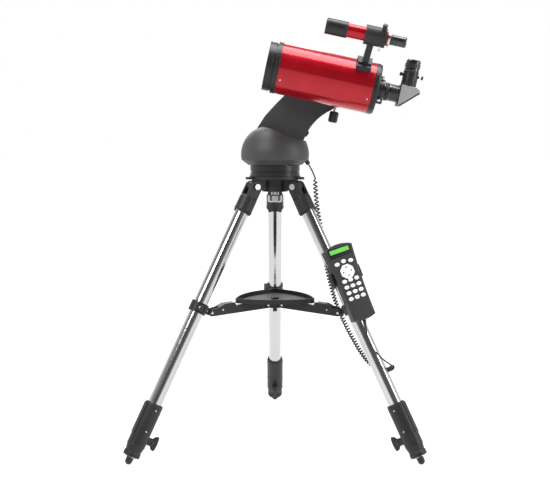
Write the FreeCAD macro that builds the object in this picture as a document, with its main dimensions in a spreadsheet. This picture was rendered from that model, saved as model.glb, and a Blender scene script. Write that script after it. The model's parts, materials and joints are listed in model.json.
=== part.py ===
"""Telescope on a tripod: a red 114 mm tube, a single-arm motorised mount, a folding tripod and a controller.

Frame: millimetres, +Z up, +X towards the eyepiece end, -Y the side that the controller faces. The origin is on
the floor, under the azimuth axis.
"""
import FreeCAD, Part
import math
import os

import Sketcher
from FreeCAD import Placement, Rotation, Vector as V

# ---------------------------------------------------------------- sheet of driving dimensions
SIZES = {
    # optical tube, along its own axis: 0 at the altitude axis, positive towards the eyepiece
    "tube_r": 57.4, "tube_wall": 2.0, "tube_front": -133.5, "tube_rear": 79.0,
    "cell_front": -163.0, "cell_groove": -147.5, "cell_lip": -144.0, "cell_r": 55.5, "cell_ring_r": 58.4,
    "lens_r": 50.0, "lens_thick": 8.0, "rear_len": 14.0, "back_r": 24.3, "back_len": 14.0,
    "sleeve_r": 19.0, "sleeve_len": 34.0, "nose_r": 15.85, "mirror_r": 52.0, "mirror_thick": 12.0,
    "holder_r": 17.5, "prism_half": 18.0, "eyepiece_u": 160.0,
    # mount
    "tube_tilt": 12.2, "tube_y": -62.0, "altitude_x": 140.0, "altitude_z": 850.0,
    "dome_r": 78.5, "dome_low": 659.0, "dome_wide": 671.0, "dome_wall": 3.0,
    "foot_r": 58.0, "foot_low": 634.0, "arm_near": 16.0, "arm_thick": 40.0, "arm_wall": 3.5, "head_r": 52.0,
    # tripod
    "pivot_r": 57.0, "pivot_z": 609.0, "leg_tilt": 27.9, "tube_out": 15.875, "tube_in": 14.7,
    "inner_out": 13.9, "inner_top": 150.0, "upper_top": 30.0, "upper_end": 560.0, "clamp_top": 542.0,
    "clamp_end": 668.0, "knob_at": 625.0, "foot_ball": 8.0, "collar_at": 307.0, "collar_high": 24.0,
    "lug_half": 9.0, "cheek": 7.0, "cheek_half": 14.0, "cheek_end": 68.0,
    "hub_joint_r": 25.0, "hub_joint_z": 331.0, "leg_joint_r": 171.0, "leg_joint_z": 324.0,
    "tray_low": 340.0, "tray_high": 351.0, "tray_tip": 104.0, "tray_side": 76.0,
    # finder
    "finder_lean": 42.0, "finder_off": 140.0, "finder_r": 15.0, "finder_cell_r": 17.0, "finder_eye_r": 11.3,
    # controller
    "pad_long": 180.0, "pad_top": 70.0, "pad_low": 55.0, "pad_thick": 26.0, "key_proud": 1.6, "key_deep": 4.0,
    # cord
    "curl_r": 6.0, "wire_r": 1.7, "plug_r": 5.0, "plug_len": 9.0,
}
LEGS = {"left": 210.0, "right": -30.0, "back": 90.0}
KEY_PITCH = (15.0, 13.7)

doc = FreeCAD.newDocument("telescope")
sheet = doc.addObject("Spreadsheet::Sheet", "Sizes")
for row, (alias, value) in enumerate(SIZES.items(), 1):
    sheet.set(f"A{row}", alias)
    sheet.set(f"B{row}", str(value))
    sheet.setAlias(f"B{row}", alias)
doc.recompute()
S = {alias: float(sheet.get(alias)) for alias in SIZES}
parts = []


# ---------------------------------------------------------------- helpers
def value_of(text):
    """The number that an expression in the sheet's aliases stands for."""
    return float(sheet.evalExpression(str(text)))


def bound(text):
    """The same expression, with each alias written as the sheet's cell."""
    words = []
    for word in str(text).replace("(", "( ").replace(")", " )").split():
        words.append(f"Sizes.{word}" if word in SIZES else word)
    return " ".join(words)


def frame(origin, z, y):
    """A placement from its origin, its Z direction and roughly its Y direction."""
    z = V(z).normalize()
    x = V(y).cross(z).normalize()
    y = z.cross(x)
    return Placement(FreeCAD.Matrix(x.x, y.x, z.x, origin.x, x.y, y.y, z.y, origin.y,
                                    x.z, y.z, z.z, origin.z, 0, 0, 0, 1))


def drawn(body, plane, points):
    """A closed sketch of straight lines, with every corner tied to the sheet."""
    sketch = body.newObject("Sketcher::SketchObject", "Outline")
    base = [o for o in body.Origin.OriginFeatures if o.Role == plane][0]
    sketch.AttachmentSupport = [(base, "")]
    sketch.MapMode = "FlatFace"
    corners = [V(value_of(x), value_of(y), 0) for x, y in points]
    for i, corner in enumerate(corners):
        sketch.addGeometry(Part.LineSegment(corner, corners[(i + 1) % len(corners)]))
    for i in range(len(points)):
        sketch.addConstraint(Sketcher.Constraint("Coincident", i, 2, (i + 1) % len(points), 1))
    for i, pair in enumerate(points):
        for side, text in zip("XY", pair):
            number = value_of(text)
            k = sketch.addConstraint(Sketcher.Constraint(f"Distance{side}", -1, 1, i, 1, number))
            if any(word in SIZES for word in bound(text).replace("Sizes.", "").split()):
                sketch.setExpression(f"Constraints[{k}]", bound(text))
    return sketch


def lathe(label, points, place, keep=True):
    """A PartDesign body turned about its own Z axis from (radius, height) corners."""
    body = doc.addObject("PartDesign::Body", label)
    body.Label = label
    sketch = drawn(body, "XZ_Plane", points)
    turned = body.newObject("PartDesign::Revolution", "Turned")
    turned.Profile = sketch
    turned.ReferenceAxis = (sketch, ["V_Axis"])
    turned.Angle = 360
    body.Tip = turned
    body.Placement = place
    if keep:
        parts.append(body)
    return body


def plate(label, points, height, place, keep=True):
    """A PartDesign body padded along its own Z axis from (x, y) corners."""
    body = doc.addObject("PartDesign::Body", label)
    body.Label = label
    sketch = drawn(body, "XY_Plane", points)
    pad = body.newObject("PartDesign::Pad", "Padded")
    pad.Profile = sketch
    pad.Length = value_of(height)
    pad.setExpression("Length", bound(height))
    body.Tip = pad
    body.Placement = place
    if keep:
        parts.append(body)
    return body


def rod(radius, height, place):
    """A cylinder primitive with both sizes tied to the sheet."""
    o = doc.addObject("Part::Cylinder", "Rod")
    o.setExpression("Radius", bound(radius))
    o.setExpression("Height", bound(height))
    o.Placement = place
    return o


def block(x, y, z, place):
    """A box primitive, centred in x and y on its placement and rising along z."""
    o = doc.addObject("Part::Box", "Block")
    o.setExpression("Length", bound(x))
    o.setExpression("Width", bound(y))
    o.setExpression("Height", bound(z))
    o.Placement = place * Placement(V(-value_of(x) / 2, -value_of(y) / 2, 0), Rotation())
    return o


def ball(radius, place):
    o = doc.addObject("Part::Sphere", "Ball")
    o.setExpression("Radius", bound(radius))
    o.Placement = place
    return o


def joined(label, pieces, keep=True):
    """One solid fused from several primitives or bodies."""
    o = doc.addObject("Part::MultiFuse", label)
    o.Shapes = pieces
    o.Label = label
    o.Refine = True
    if keep:
        parts.append(o)
    return o


def less(label, base, tools, keep=True):
    """A base with tools cut away, one Part::Cut each."""
    for tool in tools:
        o = doc.addObject("Part::Cut", "Cut")
        o.Base, o.Tool = base, tool
        base = o
    base.Label = label
    base.Refine = True
    if keep:
        parts.append(base)
    return base


def shaped(label, shape):
    """A sub-part whose shape comes from Part's own functions."""
    o = doc.addObject("Part::Feature", label)
    o.Label = label
    o.Shape = shape
    parts.append(o)
    return o


def group(label, pieces):
    """Separate solids in one node."""
    o = doc.addObject("Part::Compound", label)
    o.Links = pieces
    o.Label = label
    parts.append(o)
    return o


def at(place, x, y, z, spin=None):
    """A placement moved within another, and turned there by (axis, angle)."""
    turn = Rotation(*spin) if spin else Rotation()
    return place * Placement(V(x, y, z), turn)


def outline(points):
    """A wire through (x, y) corners, where a (x, y, 'arc') entry is the middle of an arc."""
    flat = [V(p[0], p[1], 0) for p in points]
    edges, i, n = [], 0, len(points)
    while i < n:
        following = (i + 1) % n
        if len(points[following]) == 3:
            last = (i + 2) % n
            edges.append(Part.Arc(flat[i], flat[following], flat[last]).toShape())
            i += 2
        else:
            edges.append(Part.LineSegment(flat[i], flat[following]).toShape())
            i += 1
    return Part.Wire(edges)


def slab(wire, low, high, place):
    """A flat wire as a solid between two heights of a placement."""
    solid = Part.Face(wire).extrude(V(0, 0, high - low))
    solid.translate(V(0, 0, low))
    solid.Placement = place * solid.Placement
    return solid


def tube_path(points):
    """Straight runs joined by tangent arcs, with each arc as large as its two runs allow."""
    points = [V(*p) for p in points]
    edges, radii, start = [], [], points[0]
    for a, b, c in zip(points, points[1:], points[2:]):
        go, leave = (b - a).normalize(), (c - b).normalize()
        half = go.getAngle(leave) / 2
        reach = 0.45 * min((b - a).Length, (c - b).Length)
        radii.append(reach / math.tan(half))
        first, last = b - go * reach, b + leave * reach
        middle = b + (leave - go).normalize() * (radii[-1] / math.cos(half) - radii[-1])
        edges += [Part.LineSegment(start, first).toShape(), Part.Arc(first, middle, last).toShape()]
        start = last
    edges.append(Part.LineSegment(start, points[-1]).toShape())
    return Part.Wire(edges), radii


def hose(label, points, radius):
    """A round tube along a route, with its volume compared with section times length."""
    path, radii = tube_path(points)
    ring = Part.Wire([Part.Circle(V(*points[0]), V(*points[1]) - V(*points[0]), radius).toShape()])
    solid = path.makePipeShell([ring], True, False)
    expected = math.pi * radius ** 2 * path.Length
    print(label, "length", round(path.Length, 1), "smallest radius", round(min(radii), 1),
          "volume ratio", round(solid.Volume / expected, 3))
    return shaped(label, solid)


# ---------------------------------------------------------------- frames of the main assemblies
WORLD = Placement()
tilt = math.radians(S["tube_tilt"])
PIVOT = V(S["altitude_x"], S["tube_y"], S["altitude_z"])
TUBE = frame(PIVOT, V(math.cos(tilt), 0, -math.sin(tilt)), V(0, -1, 0))
FINDER = TUBE * Placement(V(), Rotation(V(0, 0, 1), S["finder_lean"]))


def leg_frame(angle):
    """Origin at the leg's pivot, Z down the leg, Y along the pivot, X on the leg's inner side."""
    out = V(math.cos(math.radians(angle)), math.sin(math.radians(angle)), 0)
    lean = math.radians(S["leg_tilt"])
    down = out * math.sin(lean) - V(0, 0, 1) * math.cos(lean)
    return frame(out * S["pivot_r"] + V(0, 0, S["pivot_z"]), down, V(-out.y, out.x, 0))


def spoke(angle, radius=0.0, height=0.0):
    """Origin on a spoke of the tripod, X outwards along it, Z up."""
    turn = Rotation(V(0, 0, 1), angle)
    return Placement(turn.multVec(V(radius, 0, 0)) + V(0, 0, height), turn)


ACROSS = (V(1, 0, 0), 90)     # turns a rod's Z onto -Y
INWARD = (V(0, 1, 0), 90)     # turns a rod's Z onto X
DOWNWARD = (V(0, 1, 0), -90)  # turns a rod's Z onto -X
STANDING = Placement(V(), Rotation(V(1, 0, 0), 90))        # turns a flat (x, y) to (x, z), and its depth to -y
PROFILE = TUBE * frame(V(), V(0, 1, 0), V(1, 0, 0))        # turns a flat (x, y) to (along the tube, up)


def spun(points, place=WORLD):
    """A solid turned about Z from a (radius, height) outline that may hold arcs."""
    face = Part.Face(outline(points))
    face.Placement = STANDING
    solid = face.revolve(V(), V(0, 0, 1), 360)
    solid.Placement = place * solid.Placement
    return solid


# ---------------------------------------------------------------- tripod head and fasteners
def tripod_head():
    plate_low, hub_low, eye = 626, 597, 13
    pieces = [lathe("HeadHub", [
        (6.5, hub_low), (30, hub_low), (30, plate_low), ("foot_r + 2", plate_low),
        ("foot_r + 2", "foot_low - 0.5"), (6.5, "foot_low - 0.5")], WORLD, keep=False)]
    for angle in LEGS.values():
        arm, pivot = spoke(angle), spoke(angle, S["pivot_r"], S["pivot_z"])
        pieces.append(block(32, "lug_half * 2", 30, at(arm, 41, 0, hub_low + 3)))
        pieces.append(rod(eye, "lug_half * 2", at(pivot, 0, S["lug_half"], 0, ACROSS)))
        pieces.append(block(22, 12, 6, at(arm, 64, 0, plate_low)))
    holes = [rod(4.1, 40, at(spoke(a, S["pivot_r"], S["pivot_z"]), 0, 20, 0, ACROSS)) for a in LEGS.values()]
    less("tripod_head", joined("HeadSolid", pieces, keep=False), holes)


def tripod_bolts():
    bolts = []
    for angle in LEGS.values():
        centre = spoke(angle, S["pivot_r"], S["pivot_z"])
        head_at = S["lug_half"] + 0.4 + S["cheek"] + 0.3
        bolts.append(joined("PivotBolt", [
            rod(4.05, 2 * head_at, at(centre, 0, head_at, 0, ACROSS)),
            rod(7, 4, at(centre, 0, head_at + 4, 0, ACROSS)),
            rod(7, 4, at(centre, 0, -head_at, 0, ACROSS))], keep=False))
    bolts.append(lathe("MountBolt", [
        (0, 572), (15, 572), (17, 575), (17, 587), (9, 589), (9, 596.5), (6, 596.5), (6, 646), (0, 646)],
        WORLD, keep=False))
    group("tripod_bolts", bolts)


def mount_foot():
    groove = 1.5
    lathe("mount_foot", [
        (6.1, "foot_low"), ("foot_r", "foot_low"), ("foot_r", "foot_low + 7"),
        (f"foot_r - {groove}", "foot_low + 8"), (f"foot_r - {groove}", "foot_low + 11"),
        ("foot_r", "foot_low + 12"), ("foot_r", "dome_low - 1"), (22, "dome_low - 1"), (22, 676), (42, 676),
        (42, 684), (0, 684), (0, 652), (6.1, 652)], WORLD)


# ---------------------------------------------------------------- legs
def leg(name, angle):
    local = leg_frame(angle)
    cheek_at = S["lug_half"] + 0.4
    cheeks = []
    for low in (cheek_at, -cheek_at - S["cheek"]):
        cheeks.append(rod("cheek_half", "cheek", at(local, 0, low + S["cheek"], 0, ACROSS)))
        cheeks.append(block("cheek_half * 2", "cheek", "cheek_end", at(local, 0, low + S["cheek"] / 2, 0)))
    socket = lathe("Socket", [(0, 26), (18.5, 26), (20.5, 31), (20.5, 58), (19, 64), (0, 64)], local,
                   keep=False)
    casting = joined("Casting", cheeks + [socket], keep=False)
    less(f"leg_top_{name}", casting, [rod("tube_out", 50, at(local, 0, 0, S["upper_top"])),
                                      rod(4.1, 50, at(local, 0, 25, 0, ACROSS))])
    lathe(f"upper_tube_{name}", [("tube_in", "upper_top"), ("tube_out", "upper_top"), ("tube_out", "upper_end"),
                                 ("tube_in", "upper_end")], local)

    shell = lathe("ClampShell", [
        ("inner_out + 0.3", "upper_end"), ("tube_out", "upper_end"), ("tube_out", "clamp_top"),
        (19.5, "clamp_top"), (21, "clamp_top + 5"), (21, "clamp_end - 26"), (18, "clamp_end - 12"),
        (19.5, "clamp_end - 9"), (19.5, "clamp_end"), ("inner_out + 0.3", "clamp_end")], local, keep=False)
    boss = rod(9, 16, at(local, 12, 0, S["knob_at"], INWARD))
    clamp = joined("ClampSolid", [shell, boss], keep=False)
    less(f"leg_clamp_{name}", clamp, [rod("inner_out + 0.3", 80, at(local, 0, 0, S["clamp_end"] - 70)),
                                      rod(4.1, 40, at(local, 5, 0, S["knob_at"], INWARD))])

    ball_at = (S["pivot_z"] - S["foot_ball"]) / math.cos(math.radians(S["leg_tilt"]))
    inner = lathe("InnerTube", [("inner_out - 1.2", "inner_top"), ("inner_out", "inner_top"),
                                ("inner_out", "clamp_end + 2"), (0, "clamp_end + 2"), (0, "clamp_end - 2"),
                                ("inner_out - 1.2", "clamp_end - 2")], local, keep=False)
    shank = rod("foot_ball", ball_at - S["clamp_end"] - 2, at(local, 0, 0, S["clamp_end"] + 2))
    tip = joined("FootTip", [shank, ball("foot_ball", at(local, 0, 0, ball_at))], keep=False)
    group(f"lower_leg_{name}", [inner, tip])

    knob = lathe("KnobShaft", [(0, 14.3), (4, 14.3), (4, 28.6), (9, 28.6), (9, 36), (0, 36)],
                 at(local, 0, 0, S["knob_at"], INWARD), keep=False)
    wing = block(34, 6, 16, at(local, 32, 0, S["knob_at"], INWARD))
    joined(f"lock_knob_{name}", [knob, wing])


def joint_in_leg():
    """Where the brace joins a leg, in that leg's own frame: inwards and down the leg."""
    lean = math.radians(S["leg_tilt"])
    out, down = S["leg_joint_r"] - S["pivot_r"], S["pivot_z"] - S["leg_joint_z"]
    return down * math.sin(lean) - out * math.cos(lean), out * math.sin(lean) + down * math.cos(lean)


def brace_collar(name, angle):
    local = leg_frame(angle)
    inner, down = joint_in_leg()
    ring = rod(20.5, "collar_high", at(local, 0, 0, S["collar_at"] - S["collar_high"] / 2))
    lug = [block(inner, 13, 15, at(local, inner / 2, 0, down - 7.5)),
           rod(7.5, 13, at(local, inner, 6.5, down, ACROSS))]
    clamp_ear = block(20, 12, 16, at(local, 0, 22, S["collar_at"] - 8))
    less(f"brace_collar_{name}", joined("CollarSolid", [ring, clamp_ear] + lug, keep=False),
         [rod("tube_out", 60, at(local, 0, 0, S["collar_at"] - 30)),
          block(2, 16, 60, at(local, 0, 23, S["collar_at"] - 30))])


# ---------------------------------------------------------------- brace and tray
def brace_arm(name, angle):
    run, drop = S["leg_joint_r"] - S["hub_joint_r"], S["hub_joint_z"] - S["leg_joint_z"]
    long = math.hypot(run, drop)
    base = spoke(angle, S["hub_joint_r"], S["hub_joint_z"])
    flat = base * Placement(V(), Rotation(V(0, 1, 0), math.degrees(math.atan2(drop, run)))) * STANDING
    side = [(-8, 0), (-5.7, 5.7, "arc"), (0, 8), (82, 7), (86, 17), (112, 17), (130, 10), (long, 8),
            (long + 8, 0, "arc"), (long, -8), (82, -8), (0, -8), (-5.7, -5.7, "arc")]
    cheeks = [slab(outline(side), low, low + 2.5, flat) for low in (7.5, -10)]
    web_inner = slab(outline([(16, 4.5), (84, 4.5), (84, 7), (16, 7.6)]), -7.5, 7.5, flat)
    web_outer = slab(outline([(88, 14.5), (112, 14.5), (126, 9), (126, 11), (112, 17), (88, 17)]),
                     -7.5, 7.5, flat)
    solid = cheeks[0].fuse([cheeks[1], web_inner, web_outer])
    hole = Part.makeCylinder(3.06, 40, V(0, 20, 0), V(0, -1, 0))
    hole.Placement = base * hole.Placement
    shaped(f"brace_arm_{name}", solid.cut(hole).removeSplitter())


def brace_hub():
    pieces = [rod(15, 17.5, at(WORLD, 0, 0, 322)), rod(5, 10, at(WORLD, 0, 0, 312.5))]
    for angle in LEGS.values():
        joint = spoke(angle, S["hub_joint_r"], S["hub_joint_z"])
        middle = at(spoke(angle), S["hub_joint_r"] / 2 + 4, 0, S["hub_joint_z"] - 7.5)
        pieces.append(block("hub_joint_r - 8", 14, 15, middle))
        pieces.append(rod(7.5, 14, at(joint, 0, 7, 0, ACROSS)))
        pieces.append(rod(3, 24, at(joint, 0, 12, 0, ACROSS)))
    joined("brace_hub", pieces)


def tray_outline(inset):
    tip, side, corner = S["tray_tip"] - inset, S["tray_side"] - inset, 13 - inset / 2
    points = []
    for angle in (LEGS["right"], LEGS["back"], LEGS["left"]):
        centre = spoke(angle, tip)
        for offset in (-corner, None, corner):
            p = centre.multVec(V(0, 0, 0) if offset is None else V(-corner * 0.62, offset, 0))
            points.append((p.x, p.y, "arc") if offset is None else (p.x, p.y))
        edge = spoke(angle + 60, side).Base
        points.append((edge.x, edge.y, "arc"))
    return outline(points)


def tray():
    wall, floor = 2.5, 2.5
    solid = slab(tray_outline(0), S["tray_low"], S["tray_high"], WORLD)
    dish = slab(tray_outline(wall), S["tray_low"] + floor, S["tray_high"] + 5, WORLD)
    shaped("tray", solid.cut(dish))


# ---------------------------------------------------------------- mount
def arm_outline():
    """The arm from the side: a wide root, a lean to the right and a round head about the altitude axis."""
    x, z, r = S["altitude_x"], S["altitude_z"], S["head_r"]

    def rim(degrees):
        return x + r * math.cos(math.radians(degrees)), z + r * math.sin(math.radians(degrees))

    return outline([(66, 706), (68, 718), (90, 755, "arc"), (127, 784), rim(-50), (*rim(50), "arc"), rim(140),
                    (30, 828, "arc"), (-25, 771), (-46, 738), (-52, 706)])


def cord_plug_solid():
    """The plug stands square on the base's lower chamfer, in the plane of the X axis."""
    start, along = V(74, 0, 668), V(0.5, 0, -0.866)
    return Part.makeCylinder(S["plug_r"], S["plug_len"], start, along)


def azimuth_base():
    wall, low, wide, r = S["dome_wall"], S["dome_low"], S["dome_wide"], S["dome_r"]
    outer = spun([(0, low), (63, low), (r, wide), (75.5, 706, "arc"), (52, 738), (28, 747.5, "arc"), (0, 750)])
    inner = spun([(0, low + wall), (62, low + wall), (r - wall, wide + 1), (72.5, 705, "arc"), (50, 735),
                  (27, 744.5, "arc"), (0, 747)])

    def under(drop):
        sweep = outline([
            (-110, 600), (110, 600), (110, 714 - drop), (80, 714.5 - drop), (48, 719 - drop, "arc"),
            (22, 728 - drop), (0, 739 - drop, "arc"), (-32, 747.5 - drop), (-110, 770 - drop)])
        return slab(sweep, -110, 110, STANDING)

    shell = outer.common(under(0)).cut(inner.common(under(wall)))
    shell = shell.cut(Part.makeCylinder(22.06, 10, V(0, 0, low - 1)))
    arm = slab(arm_outline(), -S["arm_near"] - S["arm_thick"], -S["arm_near"], STANDING)
    shaped("azimuth_base", shell.cut(arm).cut(cord_plug_solid()))


def fork_arm():
    near, wall, cover = -S["arm_near"], S["arm_wall"], 4
    far = near - S["arm_thick"]
    outer = slab(arm_outline(), far + cover, near, STANDING)
    hollow = slab(arm_outline().makeOffset2D(-wall), far + cover - 1, near - wall, STANDING)
    shaft = Part.makeCylinder(18.06, 20, V(S["altitude_x"], 0, S["altitude_z"]), V(0, 1, 0))
    shaped("fork_arm", outer.cut(hollow).cut(shaft))
    shaped("arm_cover", slab(arm_outline(), far, far + cover, STANDING))


def drive_motors():
    azimuth = rod(13, 26, at(WORLD, -36, -24, 688))
    worm = rod(7, 36, at(WORLD, -49.4, 18, 680, ACROSS))
    altitude = rod(13, 26, at(WORLD, 55, 47, 795, ACROSS))
    group("drive_motors", [azimuth, worm, altitude])


def altitude_parts():
    face = -S["tube_y"] + S["arm_near"] - 1.4
    lathe("altitude_hub", [(0, 0), (18, 0), (18, 8), (42, 8), (42, 15), (0, 15)],
          at(TUBE, 0, -face, 0, ACROSS))
    jaw = plate("SaddleBlock", [
        (-40, f"-{face}"), (36, f"-{face}"), (36, -59), (24, -59), (19.5, -62), (22.5, -68.9), (-22.5, -68.9),
        (-19.5, -62), (-24, -59), (-40, -59)], 80, at(TUBE, 0, 0, -38), keep=False)
    knob_at = at(TUBE, 0, -65.5, 13, DOWNWARD)
    less("saddle", jaw, [rod(3.45, 20, at(knob_at, 0, 0, 30))])
    lathe("saddle_knob", [
        (0, 31), (3.4, 31), (3.4, 66), (8.5, 66), (11, 69), (11, 89), (8.5, 92), (0, 92)], knob_at)


# ---------------------------------------------------------------- optical tube
def meniscus():
    """A lens of even thickness, hollow towards the sky: a disc between two equal spheres."""
    rim, middle, sag = S["lens_r"] + 1.9, -149.0, 6.0
    curve = (rim ** 2 + sag ** 2) / (2 * sag)
    disc = Part.makeCylinder(rim, 30, V(0, 0, middle - 10))
    inside = Part.makeSphere(curve, V(0, 0, middle + S["lens_thick"] - curve))
    outside = Part.makeSphere(curve, V(0, 0, middle - curve))
    lens = disc.common(inside).cut(outside)
    lens.Placement = TUBE * lens.Placement
    return lens


def optical_tube():
    lathe("tube", [("tube_r - tube_wall", "tube_front"), ("tube_r", "tube_front"), ("tube_r", "tube_rear"),
                   ("tube_r - tube_wall", "tube_rear")], TUBE)
    lathe("front_cell", [
        (52, "cell_front"), ("cell_r", "cell_front"), ("cell_r", "cell_groove"),
        ("cell_r - 1.7", "cell_groove"), ("cell_r - 1.7", "cell_lip"), ("cell_ring_r", "cell_lip"),
        ("cell_ring_r", "tube_front"), ("tube_r - tube_wall", "tube_front"),
        ("tube_r - tube_wall", "tube_front + 7"), (52, "tube_front + 7")], TUBE)
    shaped("corrector", meniscus())
    lathe("primary_mirror", [(13.08, 58), ("mirror_r", 58), ("mirror_r", "58 + mirror_thick"),
                             (13.08, "58 + mirror_thick")], TUBE)
    baffle = lathe("BaffleTube", [(11, -20), (13, -20), (13, 90), (11, 90)], TUBE, keep=False)
    cell = lathe("RearCell", [
        (53, "tube_rear - 6"), ("tube_r - tube_wall", "tube_rear - 6"), ("tube_r - tube_wall", "tube_rear"),
        ("tube_r", "tube_rear"), ("tube_r", "tube_rear + 9"), ("tube_r - 2", "tube_rear + rear_len"),
        (13, "tube_rear + rear_len"), (13, "tube_rear + 4"), (53, "tube_rear + 4")], TUBE, keep=False)
    focus = at(TUBE, -20, -32, 0)
    drilled = less("RearCellDrilled", cell, [rod(2.56, 30, at(focus, 0, 0, 75))], keep=False)
    group("rear_cell", [drilled, baffle])
    lathe("focus_knob", [
        (0, 80), (2.5, 80), (2.5, 93.4), (8, 93.4), (9, 95), (9, 111), (8, 112.5), (0, 112.5)], focus)
    back = S["tube_rear"] + S["rear_len"]
    lathe("visual_back", [
        (13, back), ("back_r", back), ("back_r", f"{back} + back_len"), ("sleeve_r", f"{back} + back_len"),
        ("sleeve_r", f"{back} + back_len + sleeve_len"), ("nose_r + 0.05", f"{back} + back_len + sleeve_len"),
        ("nose_r + 0.05", f"{back} + 12"), (13, f"{back} + 12")], TUBE)
    bar = plate("BarBlank", [
        (22, -68.6), (19.13, -62), (19.13, -50), (-19.13, -50), (-19.13, -62), (-22, -68.6)],
        170, at(TUBE, 0, 0, -100), keep=False)
    less("dovetail", bar, [rod("tube_r", 200, at(TUBE, 0, 0, -110))])


def diagonal():
    face, half = 141.3, S["prism_half"]
    shell = slab(outline([(face, 22), (179, 22), (187, 16.5), (187, 12), (146, -26), (face, -26)]),
                 -half, half, PROFILE)
    hollow = slab(outline([(144, 19), (182, 19), (144, -18)]), -half + 3, half - 3, PROFILE)
    nose = Part.makeCylinder(S["nose_r"], face - 108, V(0, 0, 108))
    bore = Part.makeCylinder(13.5, 50, V(0, 0, 100))
    holder = Part.makeCylinder(S["holder_r"], 35, V(21, 0, S["eyepiece_u"]), V(1, 0, 0))
    light = Part.makeCylinder(13.5, 50, V(18, 0, S["eyepiece_u"]), V(1, 0, 0))
    socket = Part.makeCylinder(S["nose_r"] + 0.05, 50, V(23, 0, S["eyepiece_u"]), V(1, 0, 0))
    for solid in (nose, bore, holder, light, socket):
        solid.Placement = TUBE * solid.Placement
    shaped("diagonal", shell.fuse([nose, holder]).cut(hollow).cut(bore).cut(light).cut(socket).removeSplitter())
    shaped("prism", slab(outline([(144, 19), (182, 19), (144, -18)]), -half + 3, half - 3, PROFILE))
    lathe("eyepiece", [
        (13.5, 27), ("nose_r", 27), ("nose_r", 56.4), (17, 56.4), (17, 78), (15, 82), (9, 82), (9, 79), (0, 79),
        (0, 70), (13.5, 70)], at(TUBE, 0, 0, S["eyepiece_u"], INWARD))


def finder():
    block_at = at(FINDER, 0, 0, 32)
    blank = plate("ShoeBlank", [
        (50, -18), (68, -18), (68, -9), (62, -11), (62, 11), (68, 9), (68, 18), (50, 18)],
        34, block_at, keep=False)
    less("finder_shoe", blank, [rod("tube_r", 60, at(FINDER, 0, 0, 20))])
    axis = at(FINDER, S["finder_off"], 0, 0)
    foot = plate("BracketFoot", [(62, -11), (68, -9), (72, -9), (72, 9), (68, 9), (62, 11)], 30,
                 at(FINDER, 0, 0, 34), keep=False)
    stalk = block(14, 16, 54, at(FINDER, 70, 0, 50, INWARD))
    ring = lathe("BracketRing", [(15.02, 33), (21, 33), (21, 79), (17.4, 79), (17.4, 38), (15.02, 38)], axis,
                 keep=False)
    boss = rod(5, 9, at(axis, 20, 0, 71, INWARD))
    solid = joined("BracketSolid", [foot, stalk, ring, boss], keep=False)
    less("finder_bracket", solid, [rod(17.4, 41, at(axis, 0, 0, 38))])
    lathe("finder_tube", [
        (0, -44), (13, -44), (13, -53), ("finder_cell_r", -53), ("finder_cell_r", -5), ("finder_r", -5),
        ("finder_r", 88), ("finder_eye_r + 0.1", 88), ("finder_eye_r + 0.1", 84), (13, 84), (13, -40),
        (0, -40)], axis)
    lathe("finder_eyepiece", [
        (0, 100), (9, 100), (9, 84.2), ("finder_eye_r + 0.04", 84.2), ("finder_eye_r + 0.04", 122),
        ("finder_eye_r - 1", 124), (8, 124), (8, 119), (0, 119)], axis)


# ---------------------------------------------------------------- hand controller on the right leg
RIGHT = leg_frame(LEGS["right"])
UP = V(-0.35, 0.215, 0.90).normalize()
FACE = Rotation(UP, 18).multVec((V(0, -1, 0) - UP * V(0, -1, 0).dot(UP)).normalize())
PAD = frame(at(RIGHT, 0, 0, 254).Base + FACE * 38, FACE, UP) * Placement(V(8, 0, 0), Rotation())


def key_oval(x, y, wide, high, grow=0.0):
    oval = Part.Ellipse(V(x, y, 0), wide / 2 + grow, high / 2 + grow)
    return Part.Wire([oval.toShape()])


def petal(turns, grow=0.0):
    """One of four keys round the pad's centre."""
    spot, corners = V(0, 24, 0), [(0, 1.6), (9.6, 11.2), (5.5, 14.5), (-5.5, 14.5), (-9.6, 11.2)]
    turn = Rotation(V(0, 0, 1), 90 * turns)
    points = [spot + turn.multVec(V(x, y, 0)) for x, y in corners]
    wire = outline([(p.x, p.y) for p in points])
    return wire.makeOffset2D(grow) if grow else wire


def small_keys():
    keys = [(x, y, 11.5, 8.8) for x, y in ((-17, 45.5), (0, 48.5), (17, 45.5))]
    for row in range(4):
        for column in (-1, 0, 1):
            keys.append((column * KEY_PITCH[0], 4 - row * KEY_PITCH[1], 11.5, 8.8))
    return keys


def controller():
    half, top, low = S["pad_thick"] / 2, S["pad_top"] / 2, S["pad_low"] / 2
    end = S["pad_long"] / 2
    edge = outline([(-low, 5 - end), (0, -end, "arc"), (low, 5 - end), (28.8, 0, "arc"), (top, end - 8),
                    (0, end, "arc"), (-top, end - 8), (-28.8, 0, "arc")])
    solid = slab(edge, -half, half, PAD)
    window = outline([(-27, 60), (27, 60), (27, 82), (-27, 82)])
    solid = solid.cut(slab(window, half - 1, half + 1, PAD))
    for x, y, wide, high in small_keys():
        solid = solid.cut(slab(key_oval(x, y, wide, high, 0.3), half - S["key_deep"], half + 1, PAD))
    for turns in range(4):
        solid = solid.cut(slab(petal(turns, 0.3), half - S["key_deep"], half + 1, PAD))
    shaped("controller", solid)
    shaped("controller_screen", slab(window, half - 1, half, PAD))
    for turns, name in enumerate(("up", "left", "down", "right")):
        shaped(f"key_{name}", slab(petal(turns), half - 2.5, half + S["key_proud"], PAD))
    keys = [slab(key_oval(*key), half - S["key_deep"], half + S["key_proud"], PAD) for key in small_keys()]
    shaped("number_keys", Part.makeCompound(keys))


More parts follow.
